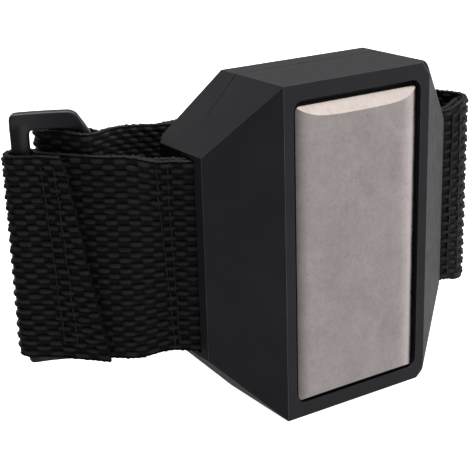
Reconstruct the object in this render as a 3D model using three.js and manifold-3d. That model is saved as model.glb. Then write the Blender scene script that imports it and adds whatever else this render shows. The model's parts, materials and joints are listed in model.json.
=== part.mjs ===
// Magnetic wrist pin holder: a steel-faced magnet in an eight-sided housing on a webbing wrist strap.
// Millimetres, +Z up. The steel plate faces -Y, and the housing stands on its flat bottom face at z = 0.
import * as THREE from 'three';
import { mergeVertices } from 'three/addons/utils/BufferGeometryUtils.js';
import Module from 'manifold-3d';

const wasm = await Module();
wasm.setup();

// ---- driving dimensions ----
const GAP = 0.3;                   // clearance between touching parts
const HEIGHT = 62;                 // housing, bottom face to top face
const FRONT_WIDTH = 32.4;          // front rectangle, and the top and bottom edges
const FULL_WIDTH = 55.4;           // across the straight sides
const SIDE_HEIGHT = 37.8;          // height of the straight sides
const END_DEPTH = 19;              // front to back along the top and bottom edges
const FULL_DEPTH = 23.4;           // front to back at mid height
const SPLAY_DEPTH = 8.3;           // depth at which the splayed sides reach full width
const SEAM_DEPTH = 14.2;           // depth of the joint between shell and cover
const WALL = 2;

const PLATE_WIDTH = 27;
const PLATE_LOW = 3.1;             // height of the plate's bottom edge
const PLATE_HIGH = 58;
const PLATE_EDGE = 1.5;            // thickness at the long edges
const PLATE_CROWN = 1.7;           // extra thickness at the middle
const CROWN_ARC = 0.15;            // share of the crown that is one even arc, the rest being round shoulders
const TOP_BEVEL = 2.1;             // height of the sloped upper end
const BOTTOM_BEVEL = 1.15;
const RECESS_WIDTH = 28.4;
const RECESS_HEIGHT = 56.4;
const RECESS_DEPTH = 2.4;
const RECESS_CORNER = 2;

const MAGNET = { width: 23.6, height: 24.6, thick: 6 };
const KEEPER = { width: 24, height: 49.5, thick: 1.5 };
const FOAM = { width: 20, height: 44, thick: 2 };

const WEB_WIDTH = 38.4;
const WEB_THICK = 1.2;
const LAYER = WEB_THICK + GAP;     // distance between the middles of two webbing layers
const SLOT_WEB = 35.8;             // the webbing's width where it is gathered into the housing's slots
const NEAR_DROP = 0.4;             // how far the near strap sinks outside the housing
const RING_LIFT = 3;               // how far the far strap rides up where it meets the buckle
const FOLD_LIFT = 2.9;             // how far it still rides up where it turns back
const TAIL_DROP = 0.5;             // how far the free end hangs low
const SAMPLE = 0.9;                // spacing of points along the webbing

const PIN = { x: 22, y: 2.9, radius: 1.2, length: 41.2 };
const SLOT_FRONT = 1.25;           // front edge of the strap slot
const SLOT_HEIGHT = SLOT_WEB + 2 * GAP;
const SCREW = { x: 15.8, dz: 14, shank: 1.1, head: 2.4, headThick: 1.3, length: 13.5 };
const BOSS_RADIUS = 2.5;
const SEAT_RADIUS = 3.7;           // the boss is wider round the screw head

const RING = {
  x: -51.5, y: 23.8, turn: -27 * Math.PI / 180,
  length: 14.4, low: 9.5, high: 56.8, thick: 2.4, bow: 0.8,
  bar: 3.6, farBar: 2.6, rail: 3.2, lowRail: 1.6,
};
const TAPE_THICK = 0.7;
const TAPE_HEIGHT = 34;
const THREAD = 0.5;
const ROW_HEIGHT = 35;

const MID_Z = HEIGHT / 2;
const FRONT_Y = -END_DEPTH / 2;
const BACK_Y = FRONT_Y + FULL_DEPTH;
const SEAM_Y = FRONT_Y + SEAM_DEPTH;
const COVER_Y = SEAM_Y + GAP;
const FLOOR_Y = FRONT_Y + RECESS_DEPTH;
const PLATE_BACK_Y = FLOOR_Y - GAP;
const CAVITY_Y = FLOOR_Y + 1.6;
const MAGNET_Y = PLATE_BACK_Y + GAP;
const KEEPER_Y = MAGNET_Y + MAGNET.thick + GAP;
const FOAM_Y = KEEPER_Y + KEEPER.thick + GAP;

// ---- finishes ----
const finish = (color, roughness, metalness = 0) =>
  new THREE.MeshStandardMaterial({ color, roughness, metalness });
const FINISH = {
  housing: () => finish('#26262a', 0.55),
  steel: () => finish('#9c9390', 0.3, 1),
  ferrite: () => finish('#3a3a3c', 0.7),
  plainSteel: () => finish('#8b8d90', 0.35, 1),
  foam: () => finish('#2b2b2d', 0.95),
  webbing: () => finish('#17171b', 0.9),
  buckle: () => finish('#1b1b1f', 0.35),
  tape: () => finish('#121215', 0.95),
  thread: () => finish('#1d1d22', 0.8),
};

// ---- solids ----
/** A closed geometry as a solid that can be joined and cut. */
function solid(geometry) {
  const bare = geometry.clone();
  bare.deleteAttribute('normal');
  bare.deleteAttribute('uv');
  const merged = mergeVertices(bare, 1e-5);
  return new wasm.Manifold(new wasm.Mesh({
    numProp: 3,
    vertProperties: new Float32Array(merged.attributes.position.array),
    triVerts: new Uint32Array(merged.index.array),
  }));
}

/** The geometry of a solid. */
function shell(body) {
  const mesh = body.getMesh();
  const geometry = new THREE.BufferGeometry();
  geometry.setAttribute('position', new THREE.BufferAttribute(new Float32Array(mesh.vertProperties), 3));
  geometry.setIndex(new THREE.BufferAttribute(new Uint32Array(mesh.triVerts), 1));
  return geometry;
}

const polygon = (points) => new THREE.Shape(points.map(([a, b]) => new THREE.Vector2(a, b)));

/** A plan outline (x, y) raised from z0 to z1. */
function raise(shape, z0, z1) {
  return new THREE.ExtrudeGeometry(shape, { depth: z1 - z0, bevelEnabled: false, curveSegments: 6 })
    .translate(0, 0, z0);
}

/** A front outline (x, z) carried through from y0 to y1. */
function through(shape, y0, y1) {
  return new THREE.ExtrudeGeometry(shape, { depth: y1 - y0, bevelEnabled: false, curveSegments: 6 })
    .rotateX(Math.PI / 2).translate(0, y1, 0);
}

/** A side outline (y, z) carried across from x0 to x1. */
function across(shape, x0, x1) {
  return new THREE.ExtrudeGeometry(shape, { depth: x1 - x0, bevelEnabled: false, curveSegments: 6 })
    .rotateX(Math.PI / 2).rotateZ(Math.PI / 2).translate(x0, 0, 0);
}

function box(x0, x1, y0, y1, z0, z1) {
  return new THREE.BoxGeometry(x1 - x0, y1 - y0, z1 - z0)
    .translate((x0 + x1) / 2, (y0 + y1) / 2, (z0 + z1) / 2);
}

/** A front outline with round corners, centred on the housing. */
function roundedRect(width, height, radius) {
  const w = width / 2;
  const h = height / 2;
  const shape = new THREE.Shape();
  shape.moveTo(-w + radius, -h + MID_Z);
  shape.lineTo(w - radius, -h + MID_Z);
  shape.absarc(w - radius, -h + radius + MID_Z, radius, -Math.PI / 2, 0, false);
  shape.absarc(w - radius, h - radius + MID_Z, radius, 0, Math.PI / 2, false);
  shape.absarc(-w + radius, h - radius + MID_Z, radius, Math.PI / 2, Math.PI, false);
  shape.absarc(-w + radius, -h + radius + MID_Z, radius, Math.PI, Math.PI * 1.5, false);
  return shape;
}

/** Each side of a convex outline, listed anticlockwise, moved inwards by a wall. */
function inset(points, wall) {
  const moved = points.map((point, i) => {
    const next = points[(i + 1) % points.length];
    const dx = next[0] - point[0];
    const dy = next[1] - point[1];
    const length = Math.hypot(dx, dy);
    return { x: point[0] - dy / length * wall, y: point[1] + dx / length * wall, dx, dy };
  });
  return moved.map((line, i) => {
    const before = moved[(i + moved.length - 1) % moved.length];
    const cross = before.dx * line.dy - before.dy * line.dx;
    const t = ((line.x - before.x) * line.dy - (line.y - before.y) * line.dx) / cross;
    return [before.x + before.dx * t, before.y + before.dy * t];
  });
}

// ---- housing ----
const halfFront = FRONT_WIDTH / 2;
const halfFull = FULL_WIDTH / 2;
const sideLow = MID_Z - SIDE_HEIGHT / 2;
const sideHigh = MID_Z + SIDE_HEIGHT / 2;
const FRONT_OUTLINE = [
  [-halfFront, 0], [halfFront, 0], [halfFull, sideLow], [halfFull, sideHigh],
  [halfFront, HEIGHT], [-halfFront, HEIGHT], [-halfFull, sideHigh], [-halfFull, sideLow],
];
const PLAN_OUTLINE = [
  [-halfFront, FRONT_Y], [halfFront, FRONT_Y], [halfFull, FRONT_Y + SPLAY_DEPTH],
  [halfFull, BACK_Y], [-halfFull, BACK_Y], [-halfFull, FRONT_Y + SPLAY_DEPTH],
];
const SIDE_OUTLINE = [
  [FRONT_Y, 0], [-FRONT_Y, 0], [BACK_Y, sideLow], [BACK_Y, sideHigh],
  [-FRONT_Y, HEIGHT], [FRONT_Y, HEIGHT],
];

/** The eight-sided body, with every face moved inwards by a wall. */
function gem(wall) {
  const outline = (points) => polygon(wall ? inset(points, wall) : points);
  return solid(through(outline(FRONT_OUTLINE), FRONT_Y - 1, BACK_Y + 1))
    .intersect(solid(raise(outline(PLAN_OUTLINE), -1, HEIGHT + 1)))
    .intersect(solid(across(outline(SIDE_OUTLINE), -halfFull - 1, halfFull + 1)));
}

const span = (y0, y1) => solid(box(-halfFull - 2, halfFull + 2, y0, y1, -2, HEIGHT + 2));

/** A round bar along Y. */
function barY(x, z, radius, y0, y1, sides = 20) {
  return new THREE.CylinderGeometry(radius, radius, y1 - y0, sides).translate(x, (y0 + y1) / 2, z);
}

const screwPlaces = [-1, 1].flatMap((up) => [-1, 1].map((side) => [side * SCREW.x, MID_Z + up * SCREW.dz]));
const SCREW_SEAT_Y = BACK_Y - SCREW.headThick - 0.5;

function frontShell() {
  const front = span(FRONT_Y - 2, SEAM_Y);
  const room = gem(WALL).intersect(span(CAVITY_Y, SEAM_Y + 1));
  let body = gem(0).intersect(front).subtract(room);
  body = body.subtract(solid(through(roundedRect(RECESS_WIDTH, RECESS_HEIGHT, RECESS_CORNER),
    FRONT_Y - 1, FLOOR_Y)));
  const window = { width: MAGNET.width + 2 * GAP, height: KEEPER.height + 2 * GAP };
  body = body.subtract(solid(box(-window.width / 2, window.width / 2, FLOOR_Y - 1, CAVITY_Y + 1,
    MID_Z - window.height / 2, MID_Z + window.height / 2)));
  for (const [x, z] of screwPlaces) {
    body = body.add(solid(barY(x, z, BOSS_RADIUS, CAVITY_Y - 0.5, SEAM_Y)));
  }
  for (const [x, z] of screwPlaces) {
    body = body.subtract(solid(barY(x, z, SCREW.shank + GAP, CAVITY_Y + 1, SEAM_Y + 1)));
  }
  for (const side of [-1, 1]) {
    for (const up of [-1, 1]) {
      const near = MID_Z + up * (SLOT_HEIGHT / 2 + 0.6);
      const far = MID_Z + up * (SLOT_HEIGHT / 2 + 2.8);
      const lug = solid(box(side * PIN.x - 2.6, side * PIN.x + 2.6, CAVITY_Y - 0.5, SEAM_Y,
        Math.min(near, far), Math.max(near, far))).intersect(gem(0));
      body = body.add(lug);
    }
    const socket = new THREE.CylinderGeometry(PIN.radius + GAP, PIN.radius + GAP, PIN.length + 2 * GAP, 20)
      .rotateX(Math.PI / 2).translate(side * PIN.x, PIN.y, MID_Z);
    body = body.subtract(solid(socket));
    const slot = side < 0 ? [-halfFull - 2, -halfFull + WALL + 1] : [halfFull - WALL - 1, halfFull + 2];
    body = body.subtract(solid(box(slot[0], slot[1], SLOT_FRONT, SEAM_Y + 1,
      MID_Z - SLOT_HEIGHT / 2, MID_Z + SLOT_HEIGHT / 2)));
  }
  return shell(body);
}

function backCover() {
  const room = gem(WALL).intersect(span(COVER_Y - 1, BACK_Y - WALL));
  let body = gem(0).intersect(span(COVER_Y, BACK_Y + 2)).subtract(room);
  for (const [x, z] of screwPlaces) {
    body = body.add(solid(barY(x, z, BOSS_RADIUS, COVER_Y, BACK_Y - 1)));
    body = body.add(solid(barY(x, z, SEAT_RADIUS, SCREW_SEAT_Y - 3, BACK_Y - 1)));
  }
  for (const x of [-6, 6]) {
    body = body.add(solid(box(x - 0.75, x + 0.75, FOAM_Y + FOAM.thick + GAP, BACK_Y - 1,
      MID_Z - 18, MID_Z + 18)));
  }
  for (const up of [-1, 1]) {
    const outer = MID_Z + up * (MID_Z - WALL - GAP);
    const inner = outer - up * 1.3;
    body = body.add(solid(box(-13, 13, SEAM_Y - 1.4, COVER_Y + 0.6, Math.min(inner, outer),
      Math.max(inner, outer))));
    const foot = MID_Z + up * (MID_Z - WALL + 0.5);
    body = body.add(solid(box(-13, 13, COVER_Y, COVER_Y + 1.4, Math.min(inner, foot),
      Math.max(inner, foot))).intersect(gem(0)));
  }
  for (const [x, z] of screwPlaces) {
    body = body.subtract(solid(barY(x, z, SCREW.shank + GAP, COVER_Y - 1, BACK_Y + 1)));
    body = body.subtract(solid(barY(x, z, SCREW.head + GAP, SCREW_SEAT_Y - GAP, BACK_Y + 1)));
  }
  return shell(body);
}

/** The steel plate: flat behind, crowned across its width, with a sloped facet at each end. */
function facePlate() {
  const halfW = PLATE_WIDTH / 2;
  const edgeY = PLATE_BACK_Y - PLATE_EDGE;
  const steps = 32;
  const plan = new THREE.Shape();
  plan.moveTo(-halfW, PLATE_BACK_Y);
  for (let i = 0; i <= steps; i += 1) {
    const u = Math.sin(Math.PI * (i / steps - 0.5));
    const fall = CROWN_ARC * u ** 2 + (1 - CROWN_ARC) * u ** 6;
    plan.lineTo(halfW * u, edgeY - PLATE_CROWN * (1 - fall));
  }
  plan.lineTo(halfW, PLATE_BACK_Y);
  const crownY = edgeY - PLATE_CROWN;
  const profile = polygon([
    [PLATE_BACK_Y + 1, PLATE_LOW], [PLATE_BACK_Y + 1, PLATE_HIGH], [edgeY, PLATE_HIGH],
    [crownY, PLATE_HIGH - TOP_BEVEL], [crownY - 1, PLATE_HIGH - TOP_BEVEL - 1.2],
    [crownY - 1, PLATE_LOW + BOTTOM_BEVEL + 1.2], [crownY, PLATE_LOW + BOTTOM_BEVEL], [edgeY, PLATE_LOW],
  ]);
  const outline = through(roundedRect(PLATE_WIDTH, PLATE_HIGH - PLATE_LOW, 0.8), crownY - 1, PLATE_BACK_Y)
    .translate(0, 0, (PLATE_LOW + PLATE_HIGH) / 2 - MID_Z);
  return shell(solid(raise(plan, PLATE_LOW - 1, PLATE_HIGH + 1))
    .intersect(solid(across(profile, -halfW - 1, halfW + 1)))
    .intersect(solid(outline)));
}

/** A pan head screw along Y, its head at the back. */
function coverScrew(x, z) {
  const tip = SCREW_SEAT_Y - SCREW.length;
  const top = SCREW_SEAT_Y + SCREW.headThick;
  const profile = [
    [0, tip], [SCREW.shank, tip + 1], [SCREW.shank, SCREW_SEAT_Y], [SCREW.head, SCREW_SEAT_Y],
    [SCREW.head, top - 0.5], [SCREW.head - 0.7, top], [0, top],
  ].map(([r, y]) => new THREE.Vector2(r, y));
  return new THREE.LatheGeometry(profile, 20).translate(x, 0, z);
}

// ---- webbing ----
const v2 = (x, y) => new THREE.Vector2(x, y);

/** A smooth line through plan points, as evenly spaced points. */
function smooth(points) {
  const curve = new THREE.CatmullRomCurve3(points.map((p) => new THREE.Vector3(p.x, p.y, 0)), false,
    'centripetal');
  curve.arcLengthDivisions = 800;
  const count = Math.ceil(curve.getLength() / SAMPLE);
  return curve.getSpacedPoints(count).map((p) => v2(p.x, p.y));
}

/** The left-hand normal at each point of a line. */
function normals(line) {
  return line.map((point, i) => {
    const a = line[Math.max(i - 1, 0)];
    const b = line[Math.min(i + 1, line.length - 1)];
    const d = b.clone().sub(a).normalize();
    return v2(-d.y, d.x);
  });
}

const beside = (line, distance) => {
  const side = normals(line);
  return line.map((point, i) => point.clone().addScaledVector(side[i], distance));
};

/** A band of given thickness standing on a plan line. */
function band(line, thick, z0, z1) {
  const left = beside(line, thick / 2);
  const right = beside(line, -thick / 2).reverse();
  return raise(new THREE.Shape([...left, ...right]), z0, z1);
}

const ease = (t) => THREE.MathUtils.smoothstep(t, 0, 1);

/** Moves each vertex up by a height worked out from its plan place. */
function raised(geometry, heightAt) {
  const position = geometry.attributes.position;
  for (let i = 0; i < position.count; i += 1) {
    position.setZ(i, position.getZ(i) + heightAt(position.getX(i), position.getY(i)));
  }
  return geometry;
}

/** The far side climbs towards the buckle and sinks a little round the fold behind it. */
const farLift = (x, y) => RING_LIFT * ease((-16 - x) / 22)
  - (x < -40 ? (RING_LIFT - FOLD_LIFT) * ease((y - 19.5) / 8.4) : 0);
const nearLift = (x) => -NEAR_DROP * ease((-29 - x) / 5);
/** The free end sinks from the fold to a little below the strap that it lies on. */
const tailLift = (x) => FOLD_LIFT - (FOLD_LIFT + TAIL_DROP) * ease((x + 41.6) / 12);

/** Draws a strap's width together towards the housing, so that it enters its slot. */
function gathered(geometry) {
  const position = geometry.attributes.position;
  for (let i = 0; i < position.count; i += 1) {
    const near = position.getY(i) < 10 ? ease((37 - Math.abs(position.getX(i))) / 6) : 0;
    const share = 1 - (1 - SLOT_WEB / WEB_WIDTH) * near;
    position.setZ(i, MID_Z + (position.getZ(i) - MID_Z) * share);
  }
  return geometry;
}

/** The part of a line between two distances from its start. */
function stretch(line, from, to) {
  let travelled = 0;
  return line.filter((point, i) => {
    travelled += i ? point.distanceTo(line[i - 1]) : 0;
    return travelled >= from && travelled <= to;
  });
}

/** The loop of webbing round a housing pin, from the inner layer to the outer layer. */
function pinLoop(side) {
  const radius = PIN.radius + GAP + WEB_THICK / 2;
  const points = [];
  for (let angle = 105; angle >= -105; angle -= 30) {
    const a = angle * Math.PI / 180;
    points.push(v2(side * (PIN.x - radius * Math.cos(a)), PIN.y + radius * Math.sin(a)));
  }
  return points;
}

const OUTER_Y = PIN.y - LAYER / 2;
const webLow = MID_Z - WEB_WIDTH / 2;
const webHigh = MID_Z + WEB_WIDTH / 2;
const wallX = halfFull + 0.2;

const ringAxis = v2(Math.cos(RING.turn), Math.sin(RING.turn));
const ringNormal = v2(-ringAxis.y, ringAxis.x);
/** A plan point from its place along and across the buckle. */
const onRing = (along, off) => v2(RING.x, RING.y).addScaledVector(ringAxis, along)
  .addScaledVector(ringNormal, off);
const barMiddle = RING.bar / 2;
const roundBar = GAP + WEB_THICK / 2;

// near side: out of the housing slot, along the wrist, round the buckle's sewn bar and back outside
const nearSide = smooth([
  v2(-wallX + 2.2, OUTER_Y), v2(-wallX, OUTER_Y + 0.15), v2(-30.3, 4.7), v2(-32.9, 6.9), v2(-36.2, 9),
  v2(-40.2, 12.4), v2(-43.4, 16.3), v2(-45.9, 19.4), onRing(RING.bar + 1.2, -0.3),
  onRing(RING.bar + 0.5, 1.75), onRing(barMiddle, RING.thick / 2 + roundBar + 0.7),
  onRing(-0.5, 1.8), onRing(-roundBar - 0.2, 0.2), onRing(-0.2, -1.7),
  onRing(barMiddle - 0.3, -RING.thick / 2 - roundBar - 0.2), v2(-48.3, 18.85), v2(-45.2, 15.4),
  v2(-43.1, 13.0),
]);
const nearSewn = beside(stretch(nearSide, 2.2, 12.5), -LAYER).reverse();
const leftLine = smooth([...nearSewn.filter((p, i) => i % 2 === 0), v2(-wallX + 2.2, OUTER_Y + LAYER),
  ...pinLoop(-1), ...nearSide.filter((p, i) => i % 2 === 0), nearSide[nearSide.length - 1]]);

// far side: out of the right slot, round behind the wrist, through the buckle and into the fold
const farSide = smooth([
  v2(wallX - 2.2, OUTER_Y), v2(wallX, OUTER_Y), v2(33.2, 2.1), v2(37.6, 3.5), v2(39.7, 6.9),
  v2(38.9, 11), v2(34.8, 14.6), v2(28.6, 17.4), v2(20, 20.2), v2(10, 22.5), v2(0, 23.5), v2(-11, 23.6),
  v2(-20.6, 22.6), v2(-25, 21.3), v2(-30, 19.4), v2(-34.8, 17.35), v2(-37.9, 15.8), v2(-40.2, 15.2),
  v2(-42.1, 17.2), v2(-43.1, 19.6), v2(-45, 22.3), v2(-45.7, 25.2), v2(-44.2, 27.5), v2(-41.6, 27.9),
]);
const farSewn = beside(stretch(farSide, 2.2, 11), LAYER).reverse();
const rightLine = smooth([...farSewn.filter((p, i) => i % 2 === 0), v2(wallX - 2.2, OUTER_Y + LAYER),
  ...pinLoop(1), ...farSide.filter((p, i) => i % 2 === 0), farSide[farSide.length - 1]]);

// the free end lies back along the outside of the far side, held by its hook tape
const STACK = WEB_THICK + 2 * TAPE_THICK + 3 * GAP;
const backStretch = farSide.filter((p) => p.y > BACK_Y && p.x < 9 && p.x > -27);
const tailLine = smooth([v2(-41.2, 27.9), v2(-36.5, 27.6), v2(-31, 27.1),
  ...beside(backStretch.filter((p) => p.x > -22), -STACK).reverse().filter((p, i) => i % 4 === 0)]);
const loopTapeLine = beside(stretch(backStretch, 1, 34), -(WEB_THICK / 2 + GAP + TAPE_THICK / 2));
const hookTapeLine = beside(stretch(backStretch, 5, 26), -(WEB_THICK / 2 + 2 * GAP + 1.5 * TAPE_THICK));

/** A row of stitching across the webbing, standing just off its outer face. */
function stitchRow(line, distance, offset) {
  const spot = stretch(line, distance, distance + 2 * SAMPLE);
  const [a, b] = spot;
  const d = b.clone().sub(a).normalize();
  const at = a.clone().addScaledVector(v2(-d.y, d.x), offset);
  const half = d.clone().multiplyScalar(THREAD / 2);
  return band([at.clone().sub(half), at.clone().add(half)], THREAD, MID_Z - ROW_HEIGHT / 2,
    MID_Z + ROW_HEIGHT / 2);
}

const rowOff = WEB_THICK / 2 + GAP + THREAD / 2;

// ---- buckle ----
/** The buckle ring in its own frame: x along it, y through it, z up, the sewn bar's edge at x = 0. */
function buckleRing() {
  const { length, low, high, thick, bow, bar, farBar, rail, lowRail } = RING;
  const middle = [];
  for (let i = 0; i <= 12; i += 1) {
    const t = i / 12;
    middle.push(v2(length * t, 4 * bow * t * (1 - t)));
  }
  const face = polygon([
    [0.7, low], [length - 1.8, low], [length, low + 1.9], [length, high - 4.2],
    [length - 2.5, high - 0.5], [length - 3.6, high], [0.7, high], [0, high - 0.7], [0, low + 0.7],
  ]);
  const slot = polygon([
    [-1, low + lowRail], [length + 1, low + lowRail], [length + 1, high - rail], [-1, high - rail],
  ]);
  const outline = solid(through(face, -3, 5));
  const oval = (x, width) => solid(raise(
    new THREE.Shape().absellipse(x, 0, width / 2, thick / 2, 0, 2 * Math.PI), low + lowRail - 1, high - rail + 1));
  return shell(solid(band(middle, thick, low, high))
    .intersect(outline)
    .subtract(solid(through(slot, -4, 6)))
    .add(oval(bar / 2, bar))
    .add(oval(length - farBar / 2, farBar).intersect(outline)));
}

// ---- assembly ----
const part = new THREE.Group();

function piece(name, geometry, material) {
  const mesh = new THREE.Mesh(geometry, material);
  mesh.name = name;
  part.add(mesh);
  return mesh;
}

piece('front_shell', frontShell(), FINISH.housing());
piece('back_cover', backCover(), FINISH.housing());
piece('steel_face_plate', facePlate(), FINISH.steel());

for (const [name, up] of [['magnet_upper', 1], ['magnet_lower', -1]]) {
  const z = MID_Z + up * (MAGNET.height + GAP) / 2;
  piece(name, box(-MAGNET.width / 2, MAGNET.width / 2, MAGNET_Y, MAGNET_Y + MAGNET.thick,
    z - MAGNET.height / 2, z + MAGNET.height / 2), FINISH.ferrite());
}
piece('magnet_keeper', box(-KEEPER.width / 2, KEEPER.width / 2, KEEPER_Y, KEEPER_Y + KEEPER.thick,
  MID_Z - KEEPER.height / 2, MID_Z + KEEPER.height / 2), FINISH.plainSteel());
piece('foam_pad', box(-FOAM.width / 2, FOAM.width / 2, FOAM_Y, FOAM_Y + FOAM.thick,
  MID_Z - FOAM.height / 2, MID_Z + FOAM.height / 2), FINISH.foam());

for (const [name, side] of [['strap_pin_left', -1], ['strap_pin_right', 1]]) {
  const pin = piece(name, new THREE.CylinderGeometry(PIN.radius, PIN.radius, PIN.length, 16)
    .rotateX(Math.PI / 2), FINISH.plainSteel());
  pin.position.set(side * PIN.x, PIN.y, MID_Z);
}
screwPlaces.forEach(([x, z], i) => piece(`cover_screw_${i + 1}`, coverScrew(x, z), FINISH.plainSteel()));

const strap = (line, heightAt) => raised(gathered(band(line, WEB_THICK, webLow, webHigh)), heightAt);
piece('left_strap', strap(leftLine, nearLift), FINISH.webbing());
piece('right_strap', strap(rightLine, farLift), FINISH.webbing());
piece('strap_tail', raised(band(tailLine, WEB_THICK, webLow, webHigh), tailLift), FINISH.webbing());
const tape = (line, heightAt) => raised(
  band(line, TAPE_THICK, MID_Z - TAPE_HEIGHT / 2, MID_Z + TAPE_HEIGHT / 2), heightAt);
piece('loop_tape', tape(loopTapeLine, farLift), FINISH.tape());
piece('hook_tape', tape(hookTapeLine, tailLift), FINISH.tape());

const ring = piece('buckle_ring', buckleRing(), FINISH.buckle());
ring.position.set(RING.x, RING.y, 0);
ring.rotation.z = RING.turn;

const tailEnd = nearSide.length * SAMPLE;
const rows = [
  ['stitch_row_left_1', nearSide, 4.8, rowOff],
  ['stitch_row_left_2', nearSide, 6.3, rowOff],
  ['stitch_row_ring_1', nearSide, tailEnd - 9.1, -rowOff],
  ['stitch_row_ring_2', nearSide, tailEnd - 6.6, -rowOff],
  ['stitch_row_right_1', farSide, 5.6, -rowOff],
  ['stitch_row_right_2', farSide, 8.2, -rowOff],
];
for (const [name, line, distance, offset] of rows) {
  piece(name, stitchRow(line, distance, offset), FINISH.thread());
}

export default part;
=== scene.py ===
"""A magnetic pin holder for the wrist: an eight-sided housing with a crowned steel plate, worn on woven
webbing that closes through a buckle ring. Lengths are in millimetres until a mesh is placed in metres."""

from __future__ import annotations

import json
import logging
import math
from dataclasses import dataclass
from enum import Enum
from typing import Any, Callable, Sequence

import bpy
import numpy as np
from mathutils import Matrix, Vector

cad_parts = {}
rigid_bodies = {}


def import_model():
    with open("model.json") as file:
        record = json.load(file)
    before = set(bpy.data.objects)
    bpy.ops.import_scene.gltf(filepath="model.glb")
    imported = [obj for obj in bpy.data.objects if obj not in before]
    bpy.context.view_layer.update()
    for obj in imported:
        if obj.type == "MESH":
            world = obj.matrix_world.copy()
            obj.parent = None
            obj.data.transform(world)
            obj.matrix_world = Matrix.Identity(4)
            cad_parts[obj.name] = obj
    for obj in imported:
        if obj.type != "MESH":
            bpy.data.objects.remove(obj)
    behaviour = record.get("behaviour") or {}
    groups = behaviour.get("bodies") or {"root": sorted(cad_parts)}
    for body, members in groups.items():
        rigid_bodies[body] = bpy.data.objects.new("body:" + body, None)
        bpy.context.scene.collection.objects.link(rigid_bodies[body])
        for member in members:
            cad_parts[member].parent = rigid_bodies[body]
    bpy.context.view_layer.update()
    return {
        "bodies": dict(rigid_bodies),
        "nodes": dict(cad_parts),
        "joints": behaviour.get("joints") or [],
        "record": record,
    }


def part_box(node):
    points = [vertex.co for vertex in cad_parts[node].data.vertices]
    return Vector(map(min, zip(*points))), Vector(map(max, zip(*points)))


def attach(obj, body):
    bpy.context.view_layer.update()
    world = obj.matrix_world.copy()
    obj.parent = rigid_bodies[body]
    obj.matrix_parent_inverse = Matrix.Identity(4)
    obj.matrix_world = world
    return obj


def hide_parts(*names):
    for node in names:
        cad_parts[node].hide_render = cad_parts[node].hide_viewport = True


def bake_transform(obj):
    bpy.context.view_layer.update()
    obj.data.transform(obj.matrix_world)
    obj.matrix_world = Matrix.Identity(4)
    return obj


log = logging.getLogger("wrist_pin_holder")

MM = 0.001
SEED = 11

Points = Sequence[tuple[float, float]]
Lift = Callable[[np.ndarray, np.ndarray], np.ndarray]


class Slot(Enum):
    """The record's material slots."""

    HOUSING = "housing_plastic"
    PLATE = "plate_steel"
    FERRITE = "ferrite"
    PLAIN_STEEL = "plain_steel"
    FOAM = "foam"
    WEBBING = "webbing"
    BUCKLE = "buckle_plastic"
    TAPE = "tape"
    THREAD = "thread"


class Body(Enum):
    """The CAD bodies that pieces ride on."""

    HOUSING = "housing"
    RING = "ring"
    TAIL = "tail"


class Face(Enum):
    """The two faces of a webbing, by the side of its line that they are on."""

    LEFT = 1
    RIGHT = -1


# ---- material nodes ----------------------------------------------------------------------------------


def linear(code: str) -> tuple[float, float, float, float]:
    """Turns an sRGB hex colour to linear.

    Args:
        code: The colour, as "#rrggbb".

    Returns:
        Linear red, green, blue and an alpha of 1.
    """
    parts = [int(code[i : i + 2], 16) / 255 for i in (1, 3, 5)]
    values = [c / 12.92 if c <= 0.04045 else ((c + 0.055) / 1.055) ** 2.4 for c in parts]
    return (values[0], values[1], values[2], 1.0)


def per_mm(size: float) -> float:
    """The texture scale, in Object coordinates, at which a pattern repeats every size millimetres."""
    return 1 / (size * MM)


def feed(tree: bpy.types.NodeTree, node: Any, **inputs: Any) -> None:
    """Gives a node's inputs their values and links.

    Args:
        tree: The node tree.
        node: The node.
        **inputs: A value or an output socket for each input, by its name with spaces as underscores,
            or by its number as in_0, in_1 and so on.
    """
    for key, value in inputs.items():
        name = int(key[3:]) if key.startswith("in_") else key.replace("_", " ")
        socket = node.inputs[name]
        if isinstance(value, bpy.types.NodeSocket):
            tree.links.new(value, socket)
        else:
            socket.default_value = value


def add_node(tree: bpy.types.NodeTree, kind: str, settings: dict[str, Any] | None = None,
             **inputs: Any) -> Any:
    """Adds a node with its settings, values and links.

    Args:
        tree: The node tree.
        kind: The node's type without its "ShaderNode" prefix.
        settings: Properties of the node itself.
        **inputs: The node's inputs, as feed takes them.

    Returns:
        The node.
    """
    node = tree.nodes.new("ShaderNode" + kind)
    for key, value in (settings or {}).items():
        setattr(node, key, value)
    feed(tree, node, **inputs)
    return node


def new_material(name: str) -> tuple[bpy.types.Material, bpy.types.NodeTree, Any]:
    """Starts a node material.

    Args:
        name: The material's name.

    Returns:
        The material, its node tree and its Principled shader.
    """
    material = bpy.data.materials.new(name)
    material.use_nodes = True
    tree = material.node_tree
    return material, tree, tree.nodes["Principled BSDF"]


def ramp(tree: bpy.types.NodeTree, fac: Any, stops: Sequence[tuple[float, str]]) -> Any:
    """Adds a colour ramp.

    Args:
        tree: The node tree.
        fac: The socket that drives it.
        stops: Places from 0 to 1 with their hex colours.

    Returns:
        The ramp's colour output.
    """
    node = add_node(tree, "ValToRGB", Fac=fac)
    elements = node.color_ramp.elements
    while len(elements) < len(stops):
        elements.new(0.5)
    for element, (place, code) in zip(elements, stops):
        element.position = place
        element.color = linear(code)
    return node.outputs["Color"]


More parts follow.
